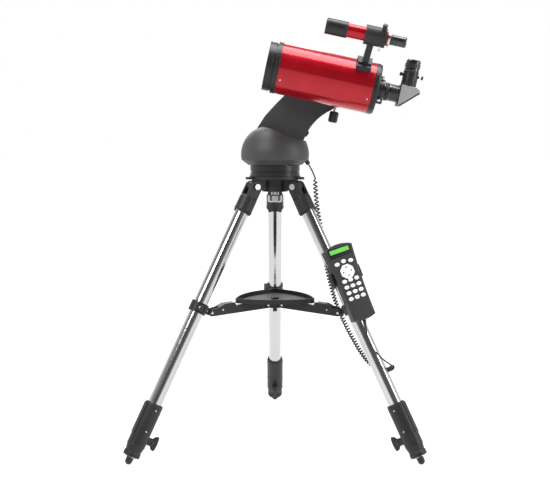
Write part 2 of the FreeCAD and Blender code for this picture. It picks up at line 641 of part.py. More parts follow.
def controller_holder():
    low, half_w, depth = -S["pad_thick"] / 2, 33.0, 3.0
    edge = half_w + depth
    plate_solid = slab(outline([(-edge, 4), (edge, 4), (edge, 32), (-edge, 32)]), low - 4, low - 0.2, PAD)
    jaws = []
    for side in (-1, 1):
        inner, outer = side * half_w, side * (half_w + depth)
        jaws.append(slab(outline([(inner, 4), (outer, 4), (outer, 32), (inner, 32)]), low - 4, 1, PAD))
    ring = Part.makeCylinder(20.5, 26, V(0, 0, 226))
    bore = Part.makeCylinder(S["tube_out"], 120, V(0, 0, 180))
    for solid in (ring, bore):
        solid.Placement = RIGHT * solid.Placement
    strut = Part.makeCylinder(9, 21, V(-6, 14, low - 4 - 20))
    strut.Placement = PAD * strut.Placement
    shaped("controller_holder", plate_solid.fuse(jaws + [ring, strut]).cut(bore).removeSplitter())


# ---------------------------------------------------------------- cord from the mount to the controller
LEAD = [(78.7, 0, 659.9), (83.1, 0, 652.2), (88.4, -1, 642.6), (93.3, -3.2, 630.2)]
CURL = [(93.5, -3.3, 629.7), (96, -6, 577), (105, -13, 524), (112, -27, 476), (118, -38, 432), (129, -46, 384),
        (140, -48, 343), (156, -58, 306), (174, -79, 272), (198, -99, 230), (221, -110, 204), (248, -112, 194),
        (265, -126, 203), (263, -148, 214)]
PAD_LEAD = [(262.6, -148.7, 214.3), (256, -160, 220), (244, -169, 229), (229, -172, 243), (215, -169, 258),
            (206, -164, 272)]


def cord():
    shaped("cord_plug", cord_plug_solid())
    hose("cord_lead", LEAD, S["wire_r"])
    hose("cord_curly", CURL, S["curl_r"])
    foot = at(PAD, 0, -S["pad_long"] / 2, 0).Base
    print("controller's lower end", [round(c, 1) for c in foot])
    hose("controller_lead", PAD_LEAD + [tuple(foot)], S["wire_r"])


# ---------------------------------------------------------------- build, check and write
tripod_head()
tripod_bolts()
mount_foot()
for leg_name, leg_angle in LEGS.items():
    leg(leg_name, leg_angle)
    brace_collar(leg_name, leg_angle)
    brace_arm(leg_name, leg_angle)
brace_hub()
tray()
azimuth_base()
fork_arm()
drive_motors()
altitude_parts()
optical_tube()
diagonal()
finder()
controller()
controller_holder()
cord()

doc.recompute()
for item in doc.Objects:
    if "Invalid" in item.State or "Error" in item.State:
        raise RuntimeError(f"{item.Name} ({item.Label}) failed: {item.State}")
os.makedirs("parts", exist_ok=True)
for item in parts:
    if item.Shape.isNull() or not item.Shape.isValid() or item.Shape.Volume < 1:
        raise RuntimeError(f"{item.Label} has no valid shape")
    item.Shape.exportStep(f"parts/{item.Label}.step")
print(len(parts), "nodes")
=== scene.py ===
"""The telescope's looks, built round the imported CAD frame. Metres, +Z up, origin on the floor."""
import json
import math

import bmesh
import bpy
from mathutils import Matrix, Vector


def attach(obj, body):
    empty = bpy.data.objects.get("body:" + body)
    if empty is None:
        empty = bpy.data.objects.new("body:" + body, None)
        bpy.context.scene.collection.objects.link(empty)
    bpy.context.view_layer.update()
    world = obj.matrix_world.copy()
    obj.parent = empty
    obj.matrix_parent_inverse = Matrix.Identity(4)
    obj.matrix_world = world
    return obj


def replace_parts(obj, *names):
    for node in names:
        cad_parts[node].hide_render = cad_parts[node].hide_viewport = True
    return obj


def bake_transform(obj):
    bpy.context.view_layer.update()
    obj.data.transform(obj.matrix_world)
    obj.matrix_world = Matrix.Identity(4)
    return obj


MM = 0.001
CREASE = math.radians(32)       # edges that turn more than this stay sharp
WELD = 1e-6                     # corners closer than this become one
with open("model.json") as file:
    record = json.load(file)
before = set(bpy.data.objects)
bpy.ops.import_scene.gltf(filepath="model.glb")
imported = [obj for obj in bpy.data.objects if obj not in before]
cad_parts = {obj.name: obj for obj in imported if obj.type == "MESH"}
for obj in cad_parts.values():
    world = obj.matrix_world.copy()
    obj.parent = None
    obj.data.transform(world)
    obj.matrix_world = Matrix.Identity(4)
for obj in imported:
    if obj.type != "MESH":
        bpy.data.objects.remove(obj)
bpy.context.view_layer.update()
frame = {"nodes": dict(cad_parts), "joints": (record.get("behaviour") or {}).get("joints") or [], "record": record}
nodes = frame["nodes"]
scene = bpy.context.scene

# ---------------------------------------------------------------- camera, floor and light
CAMERA_AWAY, CAMERA_HIGH, CAMERA_PITCH, CAMERA_LENS = 2.37, 0.719, 5.71, 66.1

# name, where it is, where it points, its two sides and its power
LIGHTS = (
    ("key", (-1.6, -1.9, 2.3), (0.1, 0, 0.7), (1.2, 1.2), 52),
    ("strip", (0.35, -0.02, 2.05), (0.35, -0.02, 0), (2.3, 0.95), 52),
    ("side", (2.2, -0.9, 1.2), (0.1, 0, 0.5), (0.6, 1.8), 24),
    ("back", (-0.4, 2.2, 1.9), (0, 0, 0.6), (1.6, 1.2), 20),
)


def camera():
    """A long lens, a little above the middle, that looks slightly down."""
    data = bpy.data.cameras.new("camera")
    data.lens, data.sensor_width = CAMERA_LENS, 36
    o = bpy.data.objects.new("camera", data)
    o.location = (0, -CAMERA_AWAY, CAMERA_HIGH)
    o.rotation_euler = (math.radians(90 - CAMERA_PITCH), 0, 0)
    scene.collection.objects.link(o)
    scene.camera = o


def area_light(name, place, target, size, power):
    """A rectangular light that faces its target."""
    data = bpy.data.lights.new(name, "AREA")
    data.shape, data.size, data.size_y, data.energy = "RECTANGLE", size[0], size[1], power
    o = bpy.data.objects.new(name, data)
    o.location = place
    o.rotation_euler = (Vector(target) - Vector(place)).to_track_quat("-Z", "Y").to_euler()
    scene.collection.objects.link(o)


def studio():
    """A white surround that darkens behind the camera and overhead, and four soft lights."""
    scene.view_settings.view_transform = "Standard"
    world = bpy.data.worlds.new("studio")
    scene.world = world
    world.use_nodes = True
    tree = world.node_tree
    tree.nodes.clear()
    place = tree.nodes.new("ShaderNodeTexCoord")
    split = tree.nodes.new("ShaderNodeSeparateXYZ")
    ramp = tree.nodes.new("ShaderNodeValToRGB")
    shade = tree.nodes.new("ShaderNodeBackground")
    out = tree.nodes.new("ShaderNodeOutputWorld")
    shift = tree.nodes.new("ShaderNodeMath")
    shift.operation = "MULTIPLY_ADD"
    shift.inputs[1].default_value, shift.inputs[2].default_value = 0.5, 0.5
    tree.links.new(place.outputs["Generated"], split.inputs[0])
    tree.links.new(split.outputs["Y"], shift.inputs[0])
    tree.links.new(shift.outputs[0], ramp.inputs[0])
    ramp.color_ramp.elements[0].position, ramp.color_ramp.elements[0].color = 0.0, (0.12, 0.12, 0.12, 1)
    ramp.color_ramp.elements[1].position, ramp.color_ramp.elements[1].color = 0.42, (1, 1, 1, 1)
    dark = ramp.color_ramp.elements.new(0.07)
    dark.color = (0.2, 0.2, 0.2, 1)
    ceiling = tree.nodes.new("ShaderNodeMapRange")
    ceiling.inputs["From Min"].default_value, ceiling.inputs["From Max"].default_value = 0.26, 0.5
    ceiling.inputs["To Min"].default_value, ceiling.inputs["To Max"].default_value = 1.0, 0.3
    tree.links.new(split.outputs["Z"], ceiling.inputs["Value"])
    both = tree.nodes.new("ShaderNodeMath")
    both.operation = "MULTIPLY"
    tree.links.new(ramp.outputs[0], both.inputs[0])
    tree.links.new(ceiling.outputs[0], both.inputs[1])
    tree.links.new(both.outputs[0], shade.inputs["Color"])
    shade.inputs["Strength"].default_value = 1.0
    tree.links.new(shade.outputs[0], out.inputs[0])
    for light in LIGHTS:
        area_light(*light)


def floor():
    """A floor that is bright enough by itself to merge with the white surround."""
    mesh = bpy.data.meshes.new("floor")
    far = 40
    mesh.from_pydata([(-far, -far, 0), (far, -far, 0), (far, far, 0), (-far, far, 0)], [], [(0, 1, 2, 3)])
    o = bpy.data.objects.new("floor", mesh)
    scene.collection.objects.link(o)
    paint = bpy.data.materials.new("floor")
    paint.use_nodes = True
    shader = paint.node_tree.nodes["Principled BSDF"]
    shader.inputs["Base Color"].default_value = (0.22, 0.22, 0.22, 1)
    shader.inputs["Roughness"].default_value = 0.9
    shader.inputs["Specular IOR Level"].default_value = 0.1
    shader.inputs["Emission Color"].default_value = (1, 1, 1, 1)
    shader.inputs["Emission Strength"].default_value = 0.96
    o.data.materials.append(paint)


# ---------------------------------------------------------------- materials
def noise(tree, place, scale, detail=3.0, stretch=(1, 1, 1)):
    """A noise value over the object's own coordinates, stretched along an axis if asked."""
    mapping = tree.nodes.new("ShaderNodeMapping")
    mapping.inputs["Scale"].default_value = stretch
    texture = tree.nodes.new("ShaderNodeTexNoise")
    texture.inputs["Scale"].default_value = scale
    texture.inputs["Detail"].default_value = detail
    tree.links.new(place, mapping.inputs["Vector"])
    tree.links.new(mapping.outputs[0], texture.inputs["Vector"])
    return texture.outputs["Fac"]


def spread(tree, value, low, high):
    """That value from its usual 0.3 to 0.7 spread over low to high."""
    span = tree.nodes.new("ShaderNodeMapRange")
    span.inputs["From Min"].default_value, span.inputs["From Max"].default_value = 0.3, 0.7
    span.inputs["To Min"].default_value, span.inputs["To Max"].default_value = low, high
    tree.links.new(value, span.inputs["Value"])
    return span.outputs[0]


def material(name, dark, light, rough, grain=800, bump=0.1, patch=12, stretch=(1, 1, 1), **sockets):
    """A surface that varies between two colours, and between two roughnesses, with a fine grain in relief."""
    paint = bpy.data.materials.new(name)
    paint.use_nodes = True
    tree = paint.node_tree
    shader = tree.nodes["Principled BSDF"]
    place = tree.nodes.new("ShaderNodeTexCoord").outputs["Object"]
    large = noise(tree, place, patch, 4.0, stretch)
    fine = noise(tree, place, grain, 2.0, stretch)
    mix = tree.nodes.new("ShaderNodeMix")
    mix.data_type = "RGBA"
    mix.inputs["A"].default_value, mix.inputs["B"].default_value = (*dark, 1), (*light, 1)
    tree.links.new(spread(tree, large, 0, 1), mix.inputs["Factor"])
    tree.links.new(mix.outputs["Result"], shader.inputs["Base Color"])
    tree.links.new(spread(tree, fine, *rough), shader.inputs["Roughness"])
    if bump:
        relief = tree.nodes.new("ShaderNodeBump")
        relief.inputs["Strength"].default_value = bump
        relief.inputs["Distance"].default_value = 0.0002
        tree.links.new(fine, relief.inputs["Height"])
        tree.links.new(relief.outputs[0], shader.inputs["Normal"])
    for socket, value in sockets.items():
        shader.inputs[socket.replace("_", " ")].default_value = value
    return paint


# what each material is made of; the capitalised values are the shader's own sockets
PAINTS = {
    "black_plastic": dict(dark=(0.012, 0.012, 0.013), light=(0.02, 0.02, 0.022), rough=(0.38, 0.52),
                          grain=1600, bump=0.25, Specular_IOR_Level=0.35),
    "black_paint": dict(dark=(0.008, 0.008, 0.009), light=(0.014, 0.014, 0.015), rough=(0.28, 0.4),
                        grain=2500, bump=0.12, Specular_IOR_Level=0.35),
    "gloss_black": dict(dark=(0.006, 0.006, 0.007), light=(0.01, 0.01, 0.011), rough=(0.12, 0.2), grain=900,
                        bump=0.03, Coat_Weight=0.5),
    "mount_grey": dict(dark=(0.030, 0.030, 0.032), light=(0.040, 0.040, 0.043), rough=(0.46, 0.58),
                       grain=1400, bump=0.2),
    "pad_grey": dict(dark=(0.018, 0.018, 0.020), light=(0.026, 0.026, 0.029), rough=(0.45, 0.55),
                     grain=1400, bump=0.2),
    "red_paint": dict(dark=(0.34, 0.003, 0.010), light=(0.41, 0.004, 0.013), rough=(0.2, 0.28), grain=3500,
                      bump=0.03, patch=30, Metallic=0.5, Specular_IOR_Level=0.2, Coat_Weight=0.45,
                      Coat_Roughness=0.03),
    "polished_steel": dict(dark=(0.50, 0.50, 0.50), light=(0.58, 0.58, 0.58), rough=(0.10, 0.17), grain=500,
                           bump=0.015, patch=6, stretch=(1, 1, 0.05), Metallic=1.0),
    "steel": dict(dark=(0.42, 0.42, 0.42), light=(0.52, 0.52, 0.52), rough=(0.22, 0.3), grain=900,
                  bump=0.02, Metallic=1.0),
    "brass": dict(dark=(0.6, 0.42, 0.16), light=(0.72, 0.52, 0.22), rough=(0.22, 0.34), grain=900,
                  bump=0.06, Metallic=1.0),
    "mirror": dict(dark=(0.88, 0.88, 0.9), light=(0.93, 0.93, 0.94), rough=(0.02, 0.03), grain=300,
                   bump=0.0, Metallic=1.0),
    "prism_grey": dict(dark=(0.27, 0.27, 0.28), light=(0.33, 0.33, 0.34), rough=(0.38, 0.5), grain=1500,
                       bump=0.2, patch=40, Metallic=0.3),
    "black_rubber": dict(dark=(0.010, 0.010, 0.010), light=(0.018, 0.018, 0.018), rough=(0.42, 0.55),
                         grain=1800, bump=0.2),
    "key_white": dict(dark=(0.74, 0.74, 0.73), light=(0.82, 0.82, 0.81), rough=(0.4, 0.5), grain=1500,
                      bump=0.08),
    "lcd": dict(dark=(0.010, 0.011, 0.010), light=(0.014, 0.015, 0.014), rough=(0.08, 0.12), grain=600,
                bump=0.0, Coat_Weight=1.0),
    "lcd_green": dict(dark=(0.14, 0.50, 0.08), light=(0.18, 0.57, 0.11), rough=(0.12, 0.2), grain=900,
                      bump=0.0, patch=60),
    "mark_grey": dict(dark=(0.16, 0.16, 0.17), light=(0.2, 0.2, 0.21), rough=(0.5, 0.6), grain=900,
                      bump=0.0),
    "glass": dict(dark=(0.8, 0.92, 0.86), light=(0.84, 0.95, 0.9), rough=(0.0, 0.02), grain=50, bump=0.0,
                  Transmission_Weight=0.95, Coat_Weight=1.0),
}
MATERIALS = {name: material(name, **made) for name, made in PAINTS.items()}


def skin(o, name):
    """Every slot of a piece gets that material."""
    if not o.data.materials:
        o.data.materials.append(MATERIALS[name])
    for i in range(len(o.data.materials)):
        o.data.materials[i] = MATERIALS[name]


# ---------------------------------------------------------------- building pieces
def piece(name, bm, look, body, smooth=True):
    """A finished mesh as a piece of its own, riding on a body."""
    bmesh.ops.remove_doubles(bm, verts=bm.verts, dist=WELD)
    bmesh.ops.recalc_face_normals(bm, faces=bm.faces)
    mesh = bpy.data.meshes.new(name)
    bm.to_mesh(mesh)
    bm.free()
    o = bpy.data.objects.new(name, mesh)
    scene.collection.objects.link(o)
    if smooth:
        for face in mesh.polygons:
            face.use_smooth = True
        mesh.set_sharp_from_angle(angle=CREASE)
    skin(o, look)
    if body:
        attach(o, body)
    return o


def nurbs_line(points, steps=24):
    """Points along the smooth route that has these control points."""
    curve = bpy.data.curves.new("route", "CURVE")
    curve.dimensions, curve.resolution_u = "3D", steps
    spline = curve.splines.new("NURBS")
    spline.points.add(len(points) - 1)
    for spot, p in zip(spline.points, points):
        spot.co = (*(c * MM for c in p), 1)
    spline.order_u, spline.use_endpoint_u = 3, True
    o = bpy.data.objects.new("route", curve)
    mesh = bpy.data.meshes.new_from_object(o)
    line = [v.co.copy() for v in mesh.vertices]
    bpy.data.meshes.remove(mesh)
    bpy.data.objects.remove(o)
    bpy.data.curves.remove(curve)
    return line


def evenly(line, step):
    """The line again, with its points a step apart, and how far along each one is."""
    along = [0.0]
    for a, b in zip(line, line[1:]):
        along.append(along[-1] + (b - a).length)
    count = max(2, round(along[-1] / step))
    out, k = [], 0
    for i in range(count + 1):
        d = along[-1] * i / count
        while k < len(line) - 2 and along[k + 1] < d:
            k += 1
        share = (d - along[k]) / max(along[k + 1] - along[k], 1e-12)
        out.append((line[k].lerp(line[k + 1], min(1, share)), d))
    return out


def length_of(line):
    """How long a line of points is."""
    return sum((b - a).length for a, b in zip(line, line[1:]))


def tube_mesh(path, radius, sides=8):
    """A round tube along a path, closed at both ends; radius is a number or one for each point."""
    bm = bmesh.new()
    rings, across = [], None
    for i, p in enumerate(path):
        ahead = (path[min(i + 1, len(path) - 1)] - path[max(i - 1, 0)]).normalized()
        if across is None:
            across = ahead.orthogonal().normalized()
        across = (across - ahead * across.dot(ahead)).normalized()
        other = ahead.cross(across)
        r = radius[i] if isinstance(radius, list) else radius
        rings.append([bm.verts.new(p + (across * math.cos(a) + other * math.sin(a)) * r)
                      for a in (2 * math.pi * k / sides for k in range(sides))])
    for a, b in zip(rings, rings[1:]):
        for k in range(sides):
            bm.faces.new((a[k], a[(k + 1) % sides], b[(k + 1) % sides], b[k]))
    bm.faces.new(rings[0])
    bm.faces.new(rings[-1])
    return bm


# ---------------------------------------------------------------- cord
LEAD = [(78.7, 0, 659.9), (83.1, 0, 652.2), (88.4, -1, 642.6), (93.3, -3.2, 630.2)]
CURL = [(93.5, -3.3, 629.7), (96, -6, 577), (105, -13, 524), (112, -27, 476), (118, -38, 432),
        (129, -46, 384), (140, -48, 343), (156, -58, 306), (174, -79, 272), (198, -99, 230),
        (221, -110, 204), (248, -112, 194), (265, -126, 203), (263, -148, 214)]
PAD_LEAD = [(256, -160, 220), (244, -169, 229), (229, -172, 243), (215, -169, 258), (206, -164, 272),
            (199.5, -140.3, 316.5)]
WIRE, COIL = 1.7 * MM, 4.3 * MM             # the wire's radius, and the radius of its turns
TOP_PITCH, PITCH_DROP = 9.6, 3.6            # how far apart the turns are, and how much less at the end
COIL_FADE = 0.012                           # the turns open out over this much at either end
RELIEF_POINTS = 56                          # half a millimetre each, along the strain relief


def coiled(line, coil_long):
    """A helix round the line for that length, tighter towards its lower end, then the plain line."""
    path, turn = [], 0.0
    spots = evenly(line, 0.0004)
    across, last = None, 0.0
    for i, (p, d) in enumerate(spots):
        ahead = (spots[min(i + 1, len(spots) - 1)][0] - spots[max(i - 1, 0)][0]).normalized()
        across = across or Vector((0, 1, 0))
        across = (across - ahead * across.dot(ahead)).normalized()
        pitch = (TOP_PITCH - PITCH_DROP * min(1, d / coil_long) ** 0.7) * MM
        turn += (d - last) / pitch * 2 * math.pi
        last = d
        width = COIL * max(0, min(1, d / COIL_FADE, (coil_long - d) / COIL_FADE))
        path.append(p + (across * math.cos(turn) + ahead.cross(across) * math.sin(turn)) * width)
    return path


def thin_out(path, step):
    """Every point of a path that is a step on from the last one kept."""
    kept = [path[0]]
    for p in path[1:]:
        if (p - kept[-1]).length >= step:
            kept.append(p)
    kept[-1] = path[-1]
    return kept


def cords():
    """The plain lead under the plug, the curly cord with its lower lead, and its strain relief."""
    lead = [p for p, _ in evenly(nurbs_line(LEAD), 0.001)]
    o = piece("mount_cord_lead", tube_mesh(lead, WIRE, 12), "black_rubber", None)
    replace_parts(o, "cord_lead")
    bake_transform(o)

    route = nurbs_line(CURL + PAD_LEAD)
    coil_long = length_of(nurbs_line(CURL))
    path = thin_out(coiled(route, coil_long), 0.0016)
    curly = piece("controller_cord", tube_mesh(path, WIRE, 8), "black_rubber", None)
    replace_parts(curly, "cord_curly", "controller_lead")
    end = [p for p, _ in evenly(route, 0.0005)][-RELIEF_POINTS:]
    sizes = [(1.9 + 2.3 * (i / (RELIEF_POINTS - 1)) + (0.35 if (i // 5) % 2 else 0)) * MM
             for i in range(RELIEF_POINTS)]
    relief = piece("controller_strain_relief", tube_mesh(end, sizes, 20), "black_rubber", "leg_right")
    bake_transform(curly)


# ---------------------------------------------------------------- frames of the assemblies
JOINTS = {joint["name"]: joint for joint in frame["joints"]}
LEGS = {"left": 210.0, "right": -30.0, "back": 90.0}


def basis(origin, z, y):
    """A matrix from its origin, its Z direction and roughly its Y direction."""
    z = Vector(z).normalized()
    x = Vector(y).cross(z).normalized()
    y = z.cross(x)
    turn = Matrix((x, y, z)).transposed().to_4x4()
    return Matrix.Translation(origin) @ turn


def at(place, x, y, z, turn=None):
    """A matrix moved within another, in millimetres, and turned there by (angle, axis)."""
    m = place @ Matrix.Translation((x * MM, y * MM, z * MM))
    return m @ Matrix.Rotation(math.radians(turn[0]), 4, turn[1]) if turn else m


def turned(place, degrees, axis="Z"):
    """A matrix turned about one of its own axes."""
    return place @ Matrix.Rotation(math.radians(degrees), 4, axis)


ALONG = Vector(JOINTS["diagonal_turn"]["axis"])
PIVOT = Vector(JOINTS["altitude_tilt"]["pos_m"])
PIVOT.y = JOINTS["diagonal_turn"]["pos_m"][1]
TUBE = basis(PIVOT, ALONG, (0, -1, 0))
FINDER = turned(TUBE, 42)
FINDER_AXIS = at(FINDER, 140, 0, 0)
UP_OUT = (90, "Y")      # turns Z onto X


def leg_frame(name):
    """Origin at the leg's pivot, Z down the leg, Y along the pivot, X on the inner side."""
    fold, slide = JOINTS[f"leg_fold_{name}"], JOINTS[f"leg_extend_{name}"]
    return basis(Vector(fold["pos_m"]), slide["axis"], fold["axis"])


# ---------------------------------------------------------------- shape makers, in millimetres
def lathe(bm, place, profile, sides=64, wave=None):
    """Turns (radius, height) corners about Z; wave(angle, height) scales the radius for ribs and lobes."""
    rings = []
    for r, z in profile:
        if r < 1e-6:
            rings.append([bm.verts.new(place @ Vector((0, 0, z * MM)))])
            continue
        ring = []
        for k in range(sides):
            a = 2 * math.pi * k / sides
            q = r * (wave(a, z) if wave else 1) * MM
            ring.append(bm.verts.new(place @ Vector((q * math.cos(a), q * math.sin(a), z * MM))))
        rings.append(ring)
    for a, b in zip(rings, rings[1:]):
        for k in range(sides):
            n = (k + 1) % sides
            if len(a) == 1 and len(b) > 1:
                bm.faces.new((a[0], b[k], b[n]))
            elif len(b) == 1 and len(a) > 1:
                bm.faces.new((a[k], a[n], b[0]))
            elif len(a) > 1:
                bm.faces.new((a[k], a[n], b[n], b[k]))
    for ring in (rings[0], rings[-1]):
        if len(ring) > 1 and profile[0] != profile[-1]:
            bm.faces.new(ring)
    return bm


def rounded(profile, r=0.8, steps=3):
    """The same corners with each turn replaced by a small arc."""
    out = [profile[0]]
    for a, b, c in zip(profile, profile[1:], profile[2:]):
        a, b, c = Vector(a), Vector(b), Vector(c)
        u, v = a - b, c - b
        reach = min(r, u.length * 0.45, v.length * 0.45)
        p, q = b + u.normalized() * reach, b + v.normalized() * reach
        for k in range(steps + 1):
            f = k / steps
            out.append(tuple(p * (1 - f) ** 2 + b * 2 * f * (1 - f) + q * f ** 2))
    return out + [profile[-1]]


def block(bm, place, size, bevel=1.0, steps=3):
    """A box centred on its place with rounded edges."""
    made = bmesh.ops.create_cube(bm, size=1.0)
    verts = made["verts"]
    for v in verts:
        v.co = Vector((v.co.x * size[0], v.co.y * size[1], v.co.z * size[2]))
    edges = list(dict.fromkeys(e for v in verts for e in v.link_edges))
    if bevel:
        result = bmesh.ops.bevel(bm, geom=edges, offset=bevel, segments=steps, profile=0.5, affect="EDGES",
                                 clamp_overlap=True)
        beveled = [v for f in result["faces"] for v in f.verts]
        verts = list(dict.fromkeys([v for v in verts if v.is_valid] + beveled))
    for v in verts:
        v.co = place @ (v.co * MM)
    return bm


def prism(bm, place, outline, low, high, bevel=1.5, steps=3):
    """A flat outline between two heights, with both rims rounded."""
    inset = []
    for k in range(steps + 1):
        a = math.pi / 2 * k / steps
        inset.append((bevel * (1 - math.sin(a)), bevel * (1 - math.cos(a))))
    levels = [(i, low + h) for i, h in inset] + [(i, high - h) for i, h in reversed(inset)]
    rings = []
    for shrink, height in levels:
        rings.append([bm.verts.new(place @ (Vector((*p, height)) * MM)) for p in offset(outline, shrink)])
    count = len(outline)
    for a, b in zip(rings, rings[1:]):
        for k in range(count):
            n = (k + 1) % count
            bm.faces.new((a[k], a[n], b[n], b[k]))
    bm.faces.new(rings[0])
    bm.faces.new(rings[-1])
    return bm


def offset(outline, inward):
    """The corners of a counter-clockwise outline moved inwards."""
    if not inward:
        return [tuple(p) for p in outline]
    out, n = [], len(outline)
    for i in range(n):
        a, b, c = Vector(outline[i - 1]), Vector(outline[i]), Vector(outline[(i + 1) % n])
        u, v = (b - a).normalized(), (c - b).normalized()
        left, right = Vector((-u.y, u.x)), Vector((-v.y, v.x))
        mitre = (left + right).normalized()
        out.append(tuple(b + mitre * inward / max(0.35, mitre.dot(left))))
    return out


def arc(a, b, c, steps=12):
    """Points from a through b to c on a circle, without c."""
    a, b, c = Vector(a), Vector(b), Vector(c)
    d = 2 * (a.x * (b.y - c.y) + b.x * (c.y - a.y) + c.x * (a.y - b.y))
    x = (a.length_squared * (b.y - c.y) + b.length_squared * (c.y - a.y) + c.length_squared * (a.y - b.y)) / d
    y = (a.length_squared * (c.x - b.x) + b.length_squared * (a.x - c.x) + c.length_squared * (b.x - a.x)) / d
    centre = Vector((x, y))
    start, mid, end = (math.atan2((p - centre).y, (p - centre).x) for p in (a, b, c))
    turn = (end - start) % (2 * math.pi)
    if (mid - start) % (2 * math.pi) > turn:
        turn -= 2 * math.pi
    r = (a - centre).length
    angles = [start + turn * k / steps for k in range(steps)]
    return [(centre.x + r * math.cos(angle), centre.y + r * math.sin(angle)) for angle in angles]


# ---------------------------------------------------------------- optical tube
def screw_head(bm, place, r=2.2, high=1.3):
    """A domed head with a slot across it, standing on its place."""
    lathe(bm, place, [(r, -0.4), (r, high * 0.4), (r * 0.8, high * 0.85), (0, high)], 24)
    block(bm, at(place, 0, 0, high), (r * 1.5, r * 0.28, 0.5), 0)
    return bm


def fluted(lobes, depth):
    """A wave of that many lobes round a knob's sides."""
    return lambda a, z: 1 - depth * (0.5 - 0.5 * math.cos(lobes * a)) ** 2


def bead(bm, place, r, height, thick, proud=0.35):
    """A rounded ring that stands just proud of a round part."""
    profile = [(r - 0.5, height - thick / 2)]
    for k in range(7):
        a = math.pi * k / 6
        profile.append((r + proud * math.sin(a), height - thick / 2 * math.cos(a)))
    return lathe(bm, place, profile + [(r - 0.5, height + thick / 2), profile[0]])


def tube_screws():
    """Three small screws round each end of the tube, and three on the rear cell."""
    bm = bmesh.new()
    for u in (-126.0, 71.5):
        for angle in (0, 120, 240):
            screw_head(bm, at(turned(TUBE, angle), 57.3, 0, u, UP_OUT))
    piece("tube_screws", bm, "steel", "telescope")
    bm = bmesh.new()
    for angle in (30, 150, 270):
        screw_head(bm, at(turned(TUBE, angle), 50, 0, 93), 2.4, 1.4)
    piece("rear_cell_screws", bm, "steel", "telescope")


def front_and_rear_trim():
    """Rings on the two cells, the visual back's grip, and its thumbscrews."""
    bm = bmesh.new()
    for ring in ((55.5, -162.2, 1.6), (55.5, -148.4, 1.6), (58.4, -142.9, 2.0), (58.4, -134.6, 2.0),
                 (57.4, 80.2, 1.8), (57.4, 86.5, 1.8)):
        bead(bm, TUBE, *ring)
    piece("cell_beads", bm, "black_paint", "telescope")

    bm = bmesh.new()
    for height in (94.4, 105.6):
        bead(bm, TUBE, 24.3, height, 1.8, 0.5)
    flange = [(23.8, 96.5), (24.9, 97.3), (24.9, 102.7), (23.8, 103.5), (23.8, 96.5)]
    lathe(bm, TUBE, flange, 144, fluted(48, 0.02))
    sleeve = [(18.6, 109), (20.3, 109.8), (20.3, 118.2), (18.6, 119), (18.6, 109)]
    lathe(bm, TUBE, sleeve, 120, fluted(36, 0.03))
    for height in (124, 127.5, 131, 134.5, 138):
        bead(bm, TUBE, 19.0, height, 1.6, 0.3)
    piece("visual_back_grip", bm, "black_plastic", "telescope")

    bm = bmesh.new()
    thumbscrew = [(1.6, 0), (1.6, 3), (3.6, 3.2), (3.9, 4), (3.9, 7.4), (3.3, 8.2), (0, 8.2)]
    for angle in (20, 140, 260):
        spot = turned(TUBE, angle)
        lathe(bm, at(spot, 24.0, 0, 100, UP_OUT), thumbscrew, 48, fluted(12, 0.08))
        screw_head(bm, at(spot, 21.6, 0, 106.9), 1.9, 1.3)
    piece("visual_back_thumbscrews", bm, "polished_steel", "telescope")


def focus_knob():
    """The ribbed rubber focus knob on its shaft."""
    grip = rounded([(7.4, 93.6), (9, 94.8), (9, 111), (7.6, 112.4), (0, 112.4)], 0.7)
    bm = lathe(bmesh.new(), at(TUBE, -20, -32, 0), [(0, 80), (2.5, 80), (2.5, 93.6), (7.4, 93.6)] + grip, 96,
               fluted(24, 0.05))
    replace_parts(piece("focus_knob_grip", bm, "black_rubber", "focus_knob"), "focus_knob")


def saddle_knob():
    """The lobed knob under the saddle and its stud."""
    spot = at(TUBE, 0, -65.5, 13, (-90, "Y"))
    bm = lathe(bmesh.new(), spot, [(0, 31), (3.3, 31), (3.3, 67), (0, 67)], 32)
    piece("saddle_knob_stud", bm, "steel", "saddle_knob")
    grip = rounded([(0, 66), (8.6, 66), (10.9, 68.6), (10.9, 89), (8.6, 91.8), (0, 91.8)], 1.4)
    bm = lathe(bmesh.new(), spot, grip, 112, fluted(7, 0.16))
    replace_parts(piece("saddle_knob_grip", bm, "black_plastic", "saddle_knob"), "saddle_knob")


# ---------------------------------------------------------------- diagonal and eyepiece
HOLDER = at(TUBE, 0, 0, 160, UP_OUT)        # Z along the eyepiece
CLAMP_SCREWS = ((0, 5.6), (180, 10))        # the side each is on, and how far out its head is


